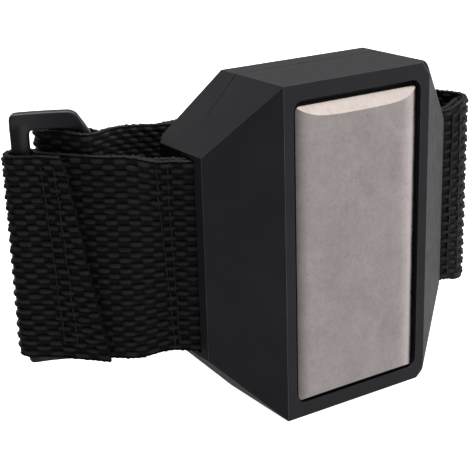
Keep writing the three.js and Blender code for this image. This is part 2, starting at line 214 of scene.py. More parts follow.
@dataclass(frozen=True)
class MouldedPlastic:
    """Injection-moulded plastic with a spark-eroded grain, which breaks up its highlights.

    A grain like that is about 0.1 mm, too fine to show, so it is drawn three to six times as coarse.
    """

    name: str
    dark: str
    light: str
    roughness: float
    spread: float
    grain: float
    depth: float
    level: float

    def build(self) -> bpy.types.Material:
        """Makes the material: a cloudy colour, a fine grain and faint handling marks.

        Returns:
            The material.
        """
        material, tree, shader = new_material(self.name)
        place = add_node(tree, "TexCoord").outputs["Object"]
        cloud = add_node(tree, "TexNoise", Vector=place, Scale=per_mm(9.0), Detail=4.0, Roughness=0.6)
        grain = add_node(tree, "TexNoise", Vector=place, Scale=per_mm(self.grain), Detail=3.0, Roughness=0.65)
        marks = add_node(tree, "TexNoise", Vector=place, Scale=per_mm(2.4), Detail=5.0, Roughness=0.7)
        colour = ramp(tree, cloud.outputs["Fac"], [(0.3, self.dark), (0.72, self.light)])
        rough = add_node(tree, "MapRange", Value=marks.outputs["Fac"], From_Min=0.3, From_Max=0.7,
                         To_Min=self.roughness - self.spread, To_Max=self.roughness + self.spread)
        bump = add_node(tree, "Bump", Height=grain.outputs["Fac"], Strength=0.5, Distance=self.depth * MM)
        feed(tree, shader, Base_Color=colour, Roughness=rough.outputs["Result"], IOR=1.5,
             Specular_IOR_Level=self.level, Normal=bump.outputs["Normal"])
        return material


@dataclass(frozen=True)
class SatinSteel:
    """Stainless sheet, pressed and then satin finished, with smudges and a few specks of handling."""

    name: str
    dark: str
    light: str
    roughness: float

    def build(self) -> bpy.types.Material:
        """Makes the material: a warm grey metal with cloudy smudges and short upright streaks.

        Returns:
            The material.
        """
        material, tree, shader = new_material(self.name)
        place = add_node(tree, "TexCoord").outputs["Object"]
        smudge = add_node(tree, "TexNoise", Vector=place, Scale=per_mm(7.5), Detail=5.0, Roughness=0.62,
                          Distortion=0.4)
        drawn = add_node(tree, "Mapping", Vector=place, Scale=(1.0, 1.0, 0.09))
        streak = add_node(tree, "TexNoise", Vector=drawn.outputs["Vector"], Scale=per_mm(0.7), Detail=3.0,
                          Roughness=0.6)
        speck = add_node(tree, "TexNoise", Vector=place, Scale=per_mm(0.5), Detail=2.0, Roughness=0.5)
        specks = add_node(tree, "MapRange", Value=speck.outputs["Fac"], From_Min=0.72, From_Max=0.78)
        clouds = ramp(tree, smudge.outputs["Fac"], [(0.3, self.dark), (0.7, self.light)])
        lines = ramp(tree, streak.outputs["Fac"], [(0.32, "#e2dedf"), (0.62, "#ffffff")])
        scuff = add_node(tree, "TexNoise", Vector=place, Scale=per_mm(1.5), Detail=9.0, Roughness=0.72,
                         Distortion=1.6)
        scuffs = ramp(tree, scuff.outputs["Fac"], [(0.36, "#e4e1e2"), (0.52, "#f6f5f5"), (0.68, "#ffffff")])
        multiply = {"data_type": "RGBA", "blend_type": "MULTIPLY"}
        mixed = add_node(tree, "Mix", multiply, in_0=0.14, in_6=clouds, in_7=lines)
        handled = add_node(tree, "Mix", multiply, in_0=0.7, in_6=mixed.outputs[2], in_7=scuffs)
        dotted = add_node(tree, "Mix", {"data_type": "RGBA"}, in_0=specks.outputs["Result"],
                          in_6=handled.outputs[2], in_7=linear("#7b7574"))
        rough = add_node(tree, "MapRange", Value=smudge.outputs["Fac"], From_Min=0.3, From_Max=0.7,
                         To_Min=self.roughness - 0.05, To_Max=self.roughness + 0.06)
        bump = add_node(tree, "Bump", Height=streak.outputs["Fac"], Strength=0.1, Distance=0.01 * MM)
        feed(tree, shader, Base_Color=dotted.outputs[2], Metallic=1.0, Roughness=rough.outputs["Result"],
             Normal=bump.outputs["Normal"])
        return material


@dataclass(frozen=True)
class PlatedSteel:
    """Zinc-plated mild steel, as on a stock screw or pin: bright, slightly blue and cloudy."""

    name: str = "zinc_plated_steel"
    roughness: float = 0.3

    def build(self) -> bpy.types.Material:
        """Makes the material: a cloudy plated metal.

        Returns:
            The material.
        """
        material, tree, shader = new_material(self.name)
        place = add_node(tree, "TexCoord").outputs["Object"]
        cloud = add_node(tree, "TexNoise", Vector=place, Scale=per_mm(1.6), Detail=4.0)
        colour = ramp(tree, cloud.outputs["Fac"], [(0.3, "#a3a4a6"), (0.7, "#c4c6c9")])
        rough = add_node(tree, "MapRange", Value=cloud.outputs["Fac"], From_Min=0.3, From_Max=0.7,
                         To_Min=self.roughness - 0.08, To_Max=self.roughness + 0.1)
        feed(tree, shader, Base_Color=colour, Metallic=1.0, Roughness=rough.outputs["Result"])
        return material


@dataclass(frozen=True)
class GritBlock:
    """A dull block with a grain of its own: ground ferrite or open-cell foam."""

    name: str
    dark: str
    light: str
    roughness: float
    cell: float
    depth: float

    def build(self) -> bpy.types.Material:
        """Makes the material: cells or grit of one size, darker in the hollows as painted shade.

        Returns:
            The material.
        """
        material, tree, shader = new_material(self.name)
        place = add_node(tree, "TexCoord").outputs["Object"]
        cells = add_node(tree, "TexVoronoi", {"feature": "F1"}, Vector=place, Scale=per_mm(self.cell))
        # Painted shade: the colour follows the bump's height, darkest in the hollows of the cells.
        colour = ramp(tree, cells.outputs["Distance"], [(0.1, self.dark), (0.75, self.light)])
        bump = add_node(tree, "Bump", Height=cells.outputs["Distance"], Strength=0.6,
                        Distance=self.depth * MM)
        feed(tree, shader, Base_Color=colour, Roughness=self.roughness, Normal=bump.outputs["Normal"])
        return material


@dataclass(frozen=True)
class WovenNylon:
    """Nylon yarn in a woven webbing: near black, with painted shade in its hollows and painted sheen with
    wear on its floats.

    The UV map runs along the webbing in u and round it in v, in millimetres, and the attribute "crest" is 1
    on the top of a float and 0 in the hollows between them. A filament is about 0.03 mm, too fine to show,
    so bundles of about five are drawn.
    """

    name: str
    hollow: str
    top: str
    roughness: float = 0.62
    ply: float = 0.31
    filament: float = 0.16

    def build(self) -> bpy.types.Material:
        """Makes the material: plies and filaments along each float, painted shade in the hollows and painted
        sheen with wear on the tops.

        Returns:
            The material.
        """
        material, tree, shader = new_material(self.name)
        uv = add_node(tree, "UVMap", {"uv_map": "UVMap"}).outputs["UV"]
        crest = add_node(tree, "Attribute", {"attribute_name": "crest"}).outputs["Fac"]
        apart = add_node(tree, "SeparateXYZ", Vector=uv)
        turns = add_node(tree, "Math", {"operation": "MULTIPLY"}, in_0=apart.outputs["Y"],
                         in_1=2 * math.pi / self.ply)
        plies = add_node(tree, "Math", {"operation": "SINE"}, in_0=turns.outputs[0])
        drawn = add_node(tree, "Mapping", Vector=uv, Scale=(0.22, 1.0, 1.0))
        fibre = add_node(tree, "TexNoise", Vector=drawn.outputs["Vector"], Scale=1 / self.filament,
                         Detail=3.0, Roughness=0.7)
        fuzz = add_node(tree, "TexNoise", Vector=uv, Scale=0.9, Detail=3.0)
        height = add_node(tree, "Math", {"operation": "MULTIPLY_ADD"}, in_0=plies.outputs[0], in_1=0.32,
                          in_2=fibre.outputs["Fac"])
        bump = add_node(tree, "Bump", Height=height.outputs[0], Strength=0.75, Distance=0.09 * MM)
        worn = add_node(tree, "Math", {"operation": "MULTIPLY_ADD"}, in_0=fuzz.outputs["Fac"], in_1=0.5,
                        in_2=-0.25)
        # Painted light: the colour follows the height of the weave, darker in the hollows as painted shade
        # and lighter on the crests as painted sheen with some wear; the fuzz noise adds random wear.
        tone = add_node(tree, "Math", {"operation": "ADD"}, in_0=crest, in_1=worn.outputs[0])
        colour = ramp(tree, tone.outputs[0], [(0.05, self.hollow), (0.95, self.top)])
        feed(tree, shader, Base_Color=colour, Roughness=self.roughness, IOR=1.53, Specular_IOR_Level=0.22,
             Sheen_Weight=0.02, Sheen_Roughness=0.4, Normal=bump.outputs["Normal"])
        return material


@dataclass(frozen=True)
class SpunThread:
    """Bonded sewing thread: twisted plies whose shine shows it apart from the webbing it sews.

    A wave texture turns 3.18 times in a unit of its scale, so the plies are 0.64 mm apart. Real ones are
    about half that, too fine to show.
    """

    name: str = "bonded_thread"
    dark: str = "#060607"
    light: str = "#131316"
    wave: float = 2.04

    def build(self) -> bpy.types.Material:
        """Makes the material: slanting plies on a black thread.

        Returns:
            The material.
        """
        material, tree, shader = new_material(self.name)
        place = add_node(tree, "TexCoord").outputs["Object"]
        turned = add_node(tree, "Mapping", Vector=place, Rotation=(0.6, 0.0, 0.5))
        plies = add_node(tree, "TexWave", {"bands_direction": "Z"}, Vector=turned.outputs["Vector"],
                         Scale=per_mm(self.wave), Distortion=1.5)
        colour = ramp(tree, plies.outputs["Fac"], [(0.1, self.dark), (0.9, self.light)])
        bump = add_node(tree, "Bump", Height=plies.outputs["Fac"], Strength=0.5, Distance=0.05 * MM)
        feed(tree, shader, Base_Color=colour, Roughness=0.48, Normal=bump.outputs["Normal"])
        return material


@dataclass(frozen=True)
class PaperSweep:
    """Matt white background paper, lit through from behind, with the faint mottle of its pulp."""

    name: str = "background_paper"
    glow: float = 1.0

    def build(self) -> bpy.types.Material:
        """Makes the material: almost even white.

        Returns:
            The material.
        """
        material, tree, shader = new_material(self.name)
        place = add_node(tree, "TexCoord").outputs["Object"]
        pulp = add_node(tree, "TexNoise", Vector=place, Scale=per_mm(60.0), Detail=2.0)
        colour = ramp(tree, pulp.outputs["Fac"], [(0.3, "#f7f7f8"), (0.7, "#fafafa")])
        feed(tree, shader, Base_Color=colour, Roughness=0.9, Specular_IOR_Level=0.1,
             Emission_Color=linear("#fdfdfe"), Emission_Strength=self.glow)
        return material


# ---- modelling by operators --------------------------------------------------------------------------


def clear_selection() -> None:
    """Leaves edit mode and deselects every object."""
    if bpy.context.object and bpy.context.object.mode != "OBJECT":
        bpy.ops.object.mode_set(mode="OBJECT")
    bpy.ops.object.select_all(action="DESELECT")


def take(piece: bpy.types.Object) -> None:
    """Makes a piece the only selected object and the active one.

    Args:
        piece: The piece.
    """
    clear_selection()
    piece.select_set(True)
    bpy.context.view_layer.objects.active = piece


def in_edit(piece: bpy.types.Object, work: Callable[[], Any]) -> None:
    """Runs work on a piece in edit mode, with all of its corners selected.

    Args:
        piece: The piece.
        work: What is done while it is open.
    """
    take(piece)
    bpy.ops.object.mode_set(mode="EDIT")
    bpy.ops.mesh.select_mode(type="VERT")
    bpy.ops.mesh.select_all(action="SELECT")
    work()
    bpy.ops.object.mode_set(mode="OBJECT")


def settle(piece: bpy.types.Object) -> bpy.types.Object:
    """Applies a piece's place, turn and scale to its mesh.

    Args:
        piece: The piece.

    Returns:
        The piece, at the origin.
    """
    take(piece)
    bpy.ops.object.transform_apply(location=True, rotation=True, scale=True)
    return piece


def apply_modifier(piece: bpy.types.Object, kind: str, **settings: Any) -> None:
    """Adds a modifier to a piece and applies it.

    Args:
        piece: The piece.
        kind: The modifier's type.
        **settings: Its properties.
    """
    take(piece)
    modifier = piece.modifiers.new(kind.lower(), kind)
    for key, value in settings.items():
        setattr(modifier, key, value)
    bpy.ops.object.modifier_apply(modifier=modifier.name)


def break_arrises(piece: bpy.types.Object, width: float, segments: int, degrees: float,
                  **settings: Any) -> None:
    """Bevels the edges of a piece that are sharper than an angle.

    Args:
        piece: The piece.
        width: How wide the bevel is, in millimetres.
        segments: How many faces it has.
        degrees: The angle.
        **settings: Other properties of the modifier.
    """
    apply_modifier(piece, "BEVEL", width=width * MM, segments=segments, limit_method="ANGLE",
                   angle_limit=math.radians(degrees), **settings)


def shade(piece: bpy.types.Object, degrees: float) -> None:
    """Shades a piece smooth, but for its edges sharper than an angle."""
    take(piece)
    bpy.ops.object.shade_smooth_by_angle(angle=math.radians(degrees))


def named(name: str) -> bpy.types.Object:
    """Names the active object and its mesh.

    Args:
        name: Its name.

    Returns:
        The object.
    """
    piece = bpy.context.object
    piece.name = name
    piece.data.name = name
    return piece


def weld() -> None:
    """Merges the open mesh's doubled corners, and its faces that lie in one plane."""
    bpy.ops.mesh.remove_doubles(threshold=0.002 * MM)
    bpy.ops.mesh.dissolve_limited(angle_limit=math.radians(0.4))


def close_ends() -> None:
    """Merges the open mesh's doubled corners, fills its open ends and turns its faces outwards."""
    bpy.ops.mesh.remove_doubles(threshold=0.001 * MM)
    bpy.ops.mesh.select_all(action="DESELECT")
    bpy.ops.mesh.select_non_manifold()
    bpy.ops.mesh.fill_holes(sides=0)
    bpy.ops.mesh.select_all(action="SELECT")
    bpy.ops.mesh.normals_make_consistent(inside=False)


def copy_of(frame: dict[str, Any], node: str, name: str) -> bpy.types.Object:
    """Copies a CAD node's mesh as a clean piece, its loose triangles merged to whole faces.

    Args:
        frame: The loaded frame.
        node: The CAD node.
        name: The new piece's name.

    Returns:
        The piece, at the origin.
    """
    clear_selection()
    piece = bpy.data.objects.new(name, frame["nodes"][node].data.copy())
    bpy.context.collection.objects.link(piece)
    piece.data.materials.clear()
    in_edit(piece, weld)
    return piece


def join(pieces: Sequence[bpy.types.Object], name: str) -> bpy.types.Object:
    """Joins pieces to one.

    Args:
        pieces: What is joined.
        name: The joined piece's name.

    Returns:
        The joined piece.
    """
    take(pieces[0])
    for piece in pieces[1:]:
        piece.select_set(True)
    bpy.ops.object.join()
    return named(name)


def copies(shape: bpy.types.Object, places: Sequence[Matrix]) -> list[bpy.types.Object]:
    """Copies one shape to many places, each copy with its own mesh, and removes the first.

    Args:
        shape: The shape, modelled at the origin.
        places: Where each copy goes.

    Returns:
        The copies.
    """
    made = []
    for place in places:
        mesh = shape.data.copy()
        mesh.transform(place)
        piece = bpy.data.objects.new(shape.name, mesh)
        bpy.context.collection.objects.link(piece)
        made.append(piece)
    bpy.data.objects.remove(shape)
    return made


def dress(piece: bpy.types.Object, slot: Slot, *materials: bpy.types.Material) -> bpy.types.Object:
    """Gives a piece its materials and logs how many faces it has.

    Args:
        piece: The piece.
        slot: The material slot. Not used.
        *materials: Its materials, in slot order.

    Returns:
        The piece.
    """
    piece.data.materials.clear()
    for material in materials:
        piece.data.materials.append(material)
    log.info("%s: %d faces", piece.name, len(piece.data.polygons))
    return piece


# ---- plan lines --------------------------------------------------------------------------------------


class PlanLine:
    """A smooth line in plan, as evenly spaced points in millimetres.

    STEP is the distance between its points, and FINE the parts that each span of a curve is drawn in.
    """

    STEP = 0.9
    FINE = 24

    def __init__(self, points: np.ndarray) -> None:
        """Keeps the points of a line that is already smooth."""
        self.points = np.asarray(points, float)

    @classmethod
    def through(cls, controls: Points) -> "PlanLine":
        """Draws a centripetal curve through control points.

        Args:
            controls: The points that the line passes through.

        Returns:
            The line.
        """
        p = np.asarray(controls, float)
        p = np.vstack([2 * p[0] - p[1], p, 2 * p[-1] - p[-2]])
        fine = [p[1]]
        shares = np.arange(1, cls.FINE + 1)[:, None] / cls.FINE
        for a, b, c, d in zip(p, p[1:], p[2:], p[3:]):
            before, within, after = (math.sqrt(math.dist(m, n)) for m, n in ((a, b), (b, c), (c, d)))
            leave = ((b - a) / before - (c - a) / (before + within) + (c - b) / within) * within
            arrive = ((c - b) / within - (d - b) / (within + after) + (d - c) / after) * within
            cubic = 2 * b - 2 * c + leave + arrive
            square = -3 * b + 3 * c - 2 * leave - arrive
            fine.extend(b + leave * shares + square * shares**2 + cubic * shares**3)
        dense = cls(np.array(fine))
        count = math.ceil(dense.length / cls.STEP)
        return cls(dense.at(np.linspace(0, dense.length, count + 1)))

    @property
    def travelled(self) -> np.ndarray:
        """The distance along the line to each of its points."""
        return np.concatenate([[0], np.cumsum(np.linalg.norm(np.diff(self.points, axis=0), axis=1))])

    @property
    def length(self) -> float:
        """The line's whole length."""
        return float(self.travelled[-1])

    def at(self, distance: np.ndarray) -> np.ndarray:
        """The points at given distances along the line."""
        along = self.travelled
        return np.column_stack([np.interp(distance, along, self.points[:, k]) for k in (0, 1)])

    def normals(self) -> np.ndarray:
        """Finds the left-hand normal at each point.

        Returns:
            The unit normals, one row each.
        """
        p = self.points
        ends = np.vstack([p[1:], p[-1:]]) - np.vstack([p[:1], p[:-1]])
        ends /= np.linalg.norm(ends, axis=1)[:, None]
        return np.column_stack([-ends[:, 1], ends[:, 0]])

    def beside(self, distance: float) -> "PlanLine":
        """The line that runs at a distance to the left of this one."""
        return PlanLine(self.points + distance * self.normals())

    def longer(self, distance: float) -> "PlanLine":
        """The line with a straight piece added to its end."""
        way = self.points[-1] - self.points[-2]
        return PlanLine(np.vstack([self.points, self.points[-1] + way * distance / np.linalg.norm(way)]))

    def stretch(self, start: float, end: float) -> "PlanLine":
        """The part of the line between two distances along it."""
        along = self.travelled
        return PlanLine(self.points[(along >= start) & (along <= end)])

    def every(self, count: int, backwards: bool = False) -> list[tuple[float, float]]:
        """Each so-manyth point, counted from the start, or from the end when backwards."""
        return [tuple(p) for p in (self.points[::-1] if backwards else self.points)[::count]]


def ease(t: np.ndarray) -> np.ndarray:
    """A smooth step from 0 to 1."""
    c = np.clip(t, 0, 1)
    return c * c * (3 - 2 * c)


@dataclass(frozen=True)
class Route:
    """Where the webbing runs, in plan, worked out from the housing, the pins and the buckle ring."""

    wall_x: float = 27.9
    pin_x: float = 22.0
    pin_y: float = 2.9
    pin_radius: float = 1.2
    gap: float = 0.3
    thick: float = 1.2
    ring_x: float = -51.5
    ring_y: float = 23.8
    ring_turn: float = math.radians(-27)
    ring_thick: float = 2.4
    ring_bar: float = 3.6
    ring_lift: float = 3.0
    near_drop: float = 0.4
    fold_lift: float = 2.9
    gathered_to: float = 35.8 / 38.4
    tail_drop: float = 0.5
    back_y: float = 13.9
    tape_thick: float = 0.7

    @property
    def layer(self) -> float:
        """The distance between the middles of two layers of webbing."""
        return self.thick + self.gap

    @property
    def outer_y(self) -> float:
        """Where the webbing's outer layer runs in the housing."""
        return self.pin_y - self.layer / 2

    def on_ring(self, along: float, off: float) -> tuple[float, float]:
        """A plan point from its place along and across the buckle ring."""
        c, s = math.cos(self.ring_turn), math.sin(self.ring_turn)
        return (self.ring_x + along * c - off * s, self.ring_y + along * s + off * c)

    def pin_loop(self, side: int) -> Points:
        """Finds the webbing's turn round a housing pin, from its inner to its outer layer.

        Args:
            side: -1 for the pin on the left of the housing, 1 for the right.

        Returns:
            The plan points.
        """
        radius = self.pin_radius + self.gap + self.thick / 2
        angles = [math.radians(a) for a in range(105, -106, -30)]
        return [(side * (self.pin_x - radius * math.cos(a)), self.pin_y + radius * math.sin(a))
                for a in angles]

    def near_side(self) -> PlanLine:
        """Runs out of the left slot, along the wrist, round the ring's sewn bar and back outside.

        Returns:
            The line.
        """
        round_bar = self.gap + self.thick / 2
        middle = self.ring_bar / 2
        half = self.ring_thick / 2
        return PlanLine.through([
            (2.2 - self.wall_x, self.outer_y), (-self.wall_x, self.outer_y + 0.15), (-30.3, 4.7),
            (-32.9, 6.9), (-36.2, 9), (-40.2, 12.4), (-43.4, 16.3), (-45.9, 19.4),
            self.on_ring(self.ring_bar + 1.2, -0.3),
            self.on_ring(self.ring_bar + 0.5, 1.75), self.on_ring(middle, half + round_bar + 0.7),
            self.on_ring(-0.5, 1.8), self.on_ring(-round_bar - 0.2, 0.2), self.on_ring(-0.2, -1.7),
            self.on_ring(middle - 0.3, -half - round_bar - 0.2), (-48.3, 18.85), (-45.2, 15.4), (-43.1, 13.0),
        ])

    def far_side(self) -> PlanLine:
        """Out of the right slot, round behind the wrist, through the ring and into the fold."""
        return PlanLine.through([
            (self.wall_x - 2.2, self.outer_y), (self.wall_x, self.outer_y), (33.2, 2.1), (37.6, 3.5),
            (39.7, 6.9), (38.9, 11), (34.8, 14.6), (28.6, 17.4), (20, 20.2), (10, 22.5), (0, 23.5),
            (-11, 23.6), (-20.6, 22.6), (-25, 21.3), (-30, 19.4), (-34.8, 17.35), (-37.9, 15.8),
            (-40.2, 15.2), (-42.1, 17.2), (-43.1, 19.6), (-45, 22.3), (-45.7, 25.2), (-44.2, 27.5),
            (-41.6, 27.9),
        ])

    def whole(self, side: int, run: PlanLine, sewn_to: float) -> PlanLine:
        """A side's webbing from its sewn end inside the loop, round its pin and along its run.

        Args:
            side: -1 for the left of the housing, 1 for the right.
            run: The line from the housing's slot outwards.
            sewn_to: How far along the run the sewn end reaches.

        Returns:
            The whole line.
        """
        sewn = run.stretch(2.2, sewn_to).beside(side * self.layer)
        return PlanLine.through([
            *sewn.every(2, backwards=True), (side * (self.wall_x - 2.2), self.outer_y + self.layer),
            *self.pin_loop(side), *run.every(2), tuple(run.points[-1]),
        ])

    def back_stretch(self) -> PlanLine:
        """The part of the far side behind the wrist that carries the tapes."""
        p = self.far_side().points
        return PlanLine(p[(p[:, 1] > self.back_y) & (p[:, 0] < 9) & (p[:, 0] > -27)])

    def tail(self) -> PlanLine:
        """Runs from the fold back along the outside of the far side.

        Returns:
            The line.
        """
        stack = self.thick + 2 * self.tape_thick + 3 * self.gap
        back = self.back_stretch()
        outside = PlanLine(back.beside(-stack).points[back.points[:, 0] > -22])
        return PlanLine.through([(-41.2, 27.9), (-36.5, 27.6), (-31, 27.1),
                                 *outside.every(4, backwards=True)])

    def far_lift(self, x: np.ndarray, y: np.ndarray) -> np.ndarray:
        """How far the far side rides up towards the ring, and sinks again in the fold."""
        sunk = np.where(x < -40, (self.ring_lift - self.fold_lift) * ease((y - 19.5) / 8.4), 0.0)
        return self.ring_lift * ease((-16 - x) / 22) - sunk

    def near_lift(self, x: np.ndarray, y: np.ndarray) -> np.ndarray:
        """How the near side sinks a little outside the housing, as a negative height."""
        return -self.near_drop * ease((-29 - x) / 5)

    def gather(self, points: np.ndarray) -> np.ndarray:
        """The share of its full width that the webbing has, at plan points near the housing's slots."""
        near = np.where(points[:, 1] < 10, ease((37 - np.abs(points[:, 0])) / 6), 0.0)
        return 1 - (1 - self.gathered_to) * near

    def tail_lift(self, x: np.ndarray, y: np.ndarray) -> np.ndarray:
        """How the free end sinks from the fold to a little below the strap that it lies on."""
        return self.fold_lift - (self.fold_lift + self.tail_drop) * ease((x + 41.6) / 12)


# ---- webbing -----------------------------------------------------------------------------------------


@dataclass
class Weave:
    """The webbing's plain weave: thick yarns along it, each over one pick and under the next.

    Each yarn follows a cosine wave. Its float starts where the wave passes -rise_lead and is at its full
    height rise_span later, and it is arched across by arch_fall and arch_power.
    """

    width: float = 38.4
    rows: int = 37
    pick: float = 2.02
    half_thick: float = 0.6
    crest: float = 0.74
    hollow: float = 0.2
    edge_round: float = 0.5
    edge_loop: float = 0.26
    per_row: int = 4
    per_pick: int = 6
    edge_steps: int = 4
    rise_lead: float = 0.18
    rise_span: float = 0.55
    arch_fall: float = 0.95
    arch_power: float = 2.8
    hollow_level: float = 0.3
    rim_level: float = 0.25
    tallest: float = 1.08
    cut_zone: float = 0.28

    def __post_init__(self) -> None:
        """Draws the weave's small irregularities."""
        rng = np.random.RandomState(SEED)
        self.shift = rng.normal(0, 0.045, self.rows)
        self.swell = rng.normal(1, 0.09, (self.rows, 256))
        self.lean = rng.normal(0, 0.05, 256)
        self.loops = rng.uniform(0.45, 1.2, 1024)

    @property
    def flat(self) -> float:
        """Half the width that the rows of yarn take up."""
        return self.width / 2 - self.edge_round

    def height(self, along: np.ndarray, across: np.ndarray, face: Face) -> tuple[np.ndarray, np.ndarray]:
        """The weave's surface.

        Args:
            along: Distances along the webbing.
            across: Distances from its middle line.
            face: Which face it is. A float on one face is a hollow on the other.

        Returns:
            The distance from the middle of the webbing's thickness, and from 0 to 1 how high that is.
        """
        place = (across + self.flat) / (2 * self.flat) * self.rows
        row = np.clip(np.floor(place + 1e-6).astype(int), 0, self.rows - 1)
        inside = np.clip(place - row, 0, 1) * 2 - 1
        wobble = self.lean[np.floor(along / self.pick).astype(int) % 256]
        turn = along / self.pick + row + self.shift[row] + wobble * 0.3 + (0 if face is Face.LEFT else 1)
        column = np.floor(turn / 2 + 0.5).astype(int) % 256
        wave = np.cos(math.pi * turn)
        rise = ease((wave + self.rise_lead) / self.rise_span)
        arch = np.sqrt(np.clip(1 - self.arch_fall * np.abs(inside) ** self.arch_power, 0, 1))
        top = rise * arch * self.swell[row, column]
        sunk = (1 - rise) * (self.hollow_level * arch)
        level = np.clip(top + sunk, 0, self.tallest)
        return self.hollow + (self.crest - self.hollow) * level, level

    def edge_out(self, along: np.ndarray, top: bool) -> np.ndarray:
        """How far the selvedge stands out beyond the rows, with the small loops where the weft turns.

        Args:
            along: Distances along the webbing.
            top: Whether it is the top selvedge.

        Returns:
            The distances.
        """
        at = along / (self.pick / 2) + (0.37 if top else 0)
        size = self.loops[(np.floor(at).astype(int) + (500 if top else 0)) % 1024]
        return self.edge_round - 0.12 + self.edge_loop * size * np.abs(np.sin(math.pi * at))


@dataclass(frozen=True)
class Cut:
    """How one end of a webbing is cut: how far it leans from its middle to the top edge, and how unevenly."""

    lean: float = 0.0
    ragged: float = 0.0


def weave_piece(name: str, line: PlanLine, lift: np.ndarray, width: np.ndarray, weave: Weave, start: float,
                end: float, middle_z: float, last_cut: Cut) -> bpy.types.Object:
    """Models a closed length of webbing, woven on both faces, and lays it along a line.

    Args:
        name: The piece's name.
        line: The webbing's middle line in plan.
        lift: How high the webbing rides, at each point of the line.
        width: The share of its full width that it has there.
        weave: Its weave.
        start: Where the piece starts along the line.
        end: Where it ends.
        middle_z: The height of its middle.
        last_cut: How its last end is cut.

    Returns:
        The piece.
    """
    steps = max(2, round((end - start) / weave.pick * weave.per_pick))
    face_steps = weave.rows * weave.per_row
    half = face_steps + weave.edge_steps + 1
    round_steps = 2 * half
    clear_selection()
    bpy.ops.mesh.primitive_grid_add(x_subdivisions=steps, y_subdivisions=round_steps, size=2)
    piece = named(name)
    mesh = piece.data
    flat = np.empty(len(mesh.vertices) * 3)
    mesh.vertices.foreach_get("co", flat)
    flat = flat.reshape(-1, 3)
    share = (flat[:, 0] + 1) / 2
    turn = np.rint((flat[:, 1] + 1) / 2 * round_steps).astype(int) % round_steps

    second = turn >= half
    local = turn % half
    on_face = local <= face_steps
    way = np.where(second, -1.0, 1.0)
    across = way * np.where(on_face, -weave.flat + 2 * weave.flat * local / face_steps, 0.0)
    rim = (local - face_steps) / (weave.edge_steps + 1) * math.pi

    along = start + share * (end - start)
    leftward, left_level = weave.height(along, across, Face.LEFT)
    rightward, right_level = weave.height(along, across, Face.RIGHT)
    level = np.where(second, right_level, left_level)
    out = np.where(second, weave.edge_out(along, False), weave.edge_out(along, True))
    off = np.where(on_face, np.where(second, -rightward, leftward), way * weave.half_thick * np.cos(rim))
    high = np.where(on_face, across, way * (weave.flat + out * np.sin(rim)))
    level = np.where(on_face, level, weave.rim_level)

    uneven = np.random.RandomState(SEED + len(name)).normal(0, 1, weave.rows + 2)
    yarn = np.clip(((high / weave.width + 0.5) * weave.rows).astype(int), 0, weave.rows)
    shift = last_cut.lean * high / (weave.width / 2) + last_cut.ragged * uneven[yarn]
    at = along + shift * ease((share - (1 - weave.cut_zone)) / weave.cut_zone)

    normal = line.normals()
    curves = (line.points[:, 0], line.points[:, 1], normal[:, 0], normal[:, 1], width, lift)
    x0, y0, nx, ny, wide, rise = (np.interp(at, line.travelled, curve) for curve in curves)
    size = np.hypot(nx, ny)
    z = middle_z + high * wide + rise
    placed = np.column_stack([x0 + off * nx / size, y0 + off * ny / size, z]) * MM
    mesh.vertices.foreach_set("co", placed.ravel())

    corner = np.empty(len(mesh.loops), int)
    mesh.loops.foreach_get("vertex_index", corner)
    around = (flat[:, 1] + 1) / 2 * round_steps * (2 * weave.flat / face_steps)
    uv = np.column_stack([along, around])[corner]
    mesh.uv_layers[0].data.foreach_set("uv", uv.ravel())
    mesh.uv_layers[0].name = "UVMap"
    mesh.attributes.new("crest", "FLOAT", "POINT").data.foreach_set("value", level)
    mesh.update()
    in_edit(piece, close_ends)
    shade(piece, 75.0)
    return piece


